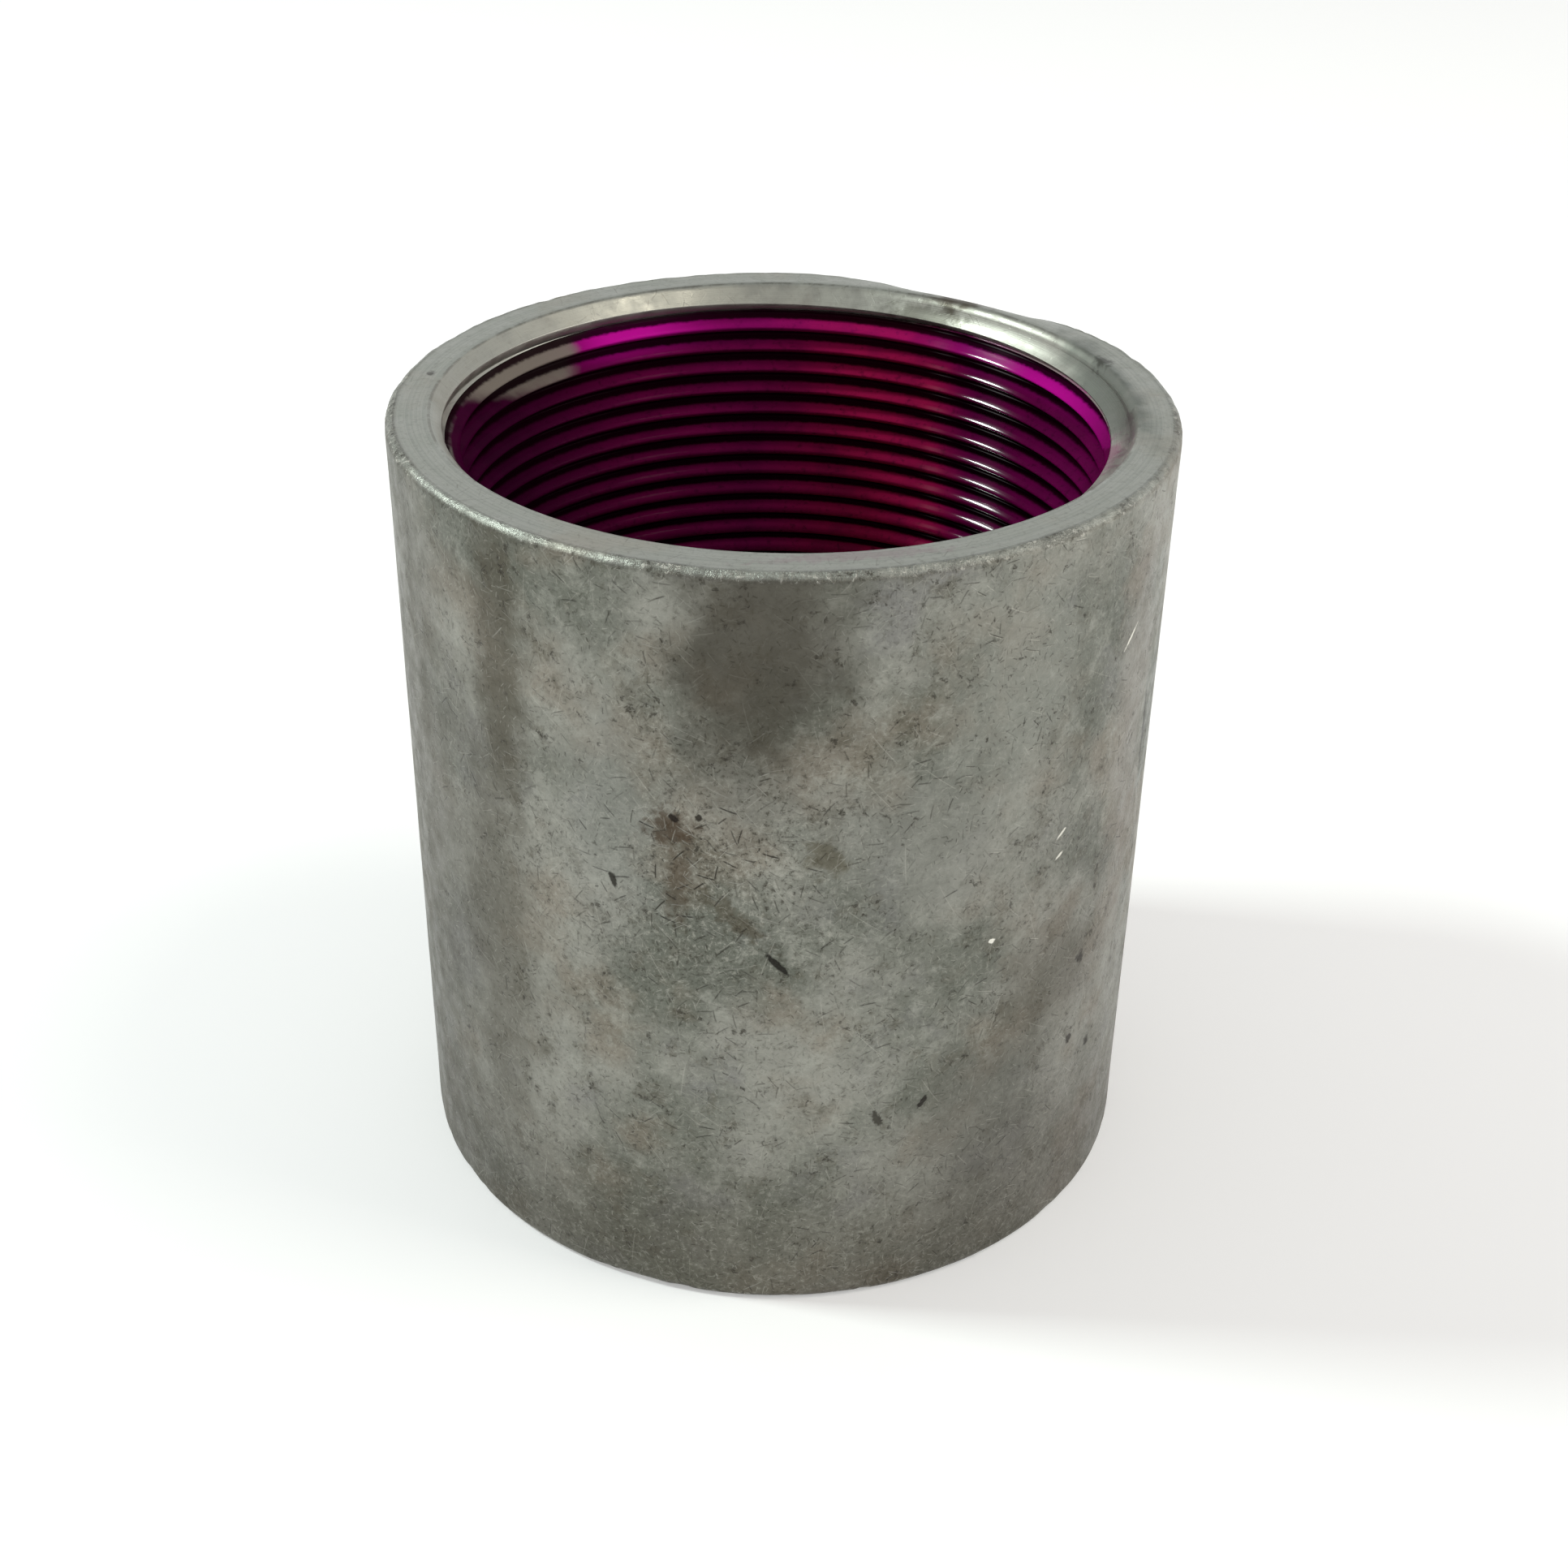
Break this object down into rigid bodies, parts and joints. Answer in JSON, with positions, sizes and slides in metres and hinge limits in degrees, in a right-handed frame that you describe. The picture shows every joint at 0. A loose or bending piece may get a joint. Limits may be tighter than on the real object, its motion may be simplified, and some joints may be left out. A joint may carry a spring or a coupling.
{
  "type": "pipe coupling",
  "caption": "Round steel sleeve with an internal right-hand taper pipe thread in each end, dye-coated, that screws two pipe ends together in line.",
  "frame": {"origin": "centre of the lower end face, on the coupling's axis", "axes": "+Z along the coupling's axis, out of the upper mouth; X and Y across it"},
  "size_m": [0.1016, 0.1016, 0.108],
  "materials": {
    "steel": "satin",
    "upper_coat": "gloss",
    "lower_coat": "gloss"
  },
  "bodies": {
    "root": {"coupling_body": "steel", "upper_thread_coat": "upper_coat", "lower_thread_coat": "lower_coat"}
  },
  "joints": []
}
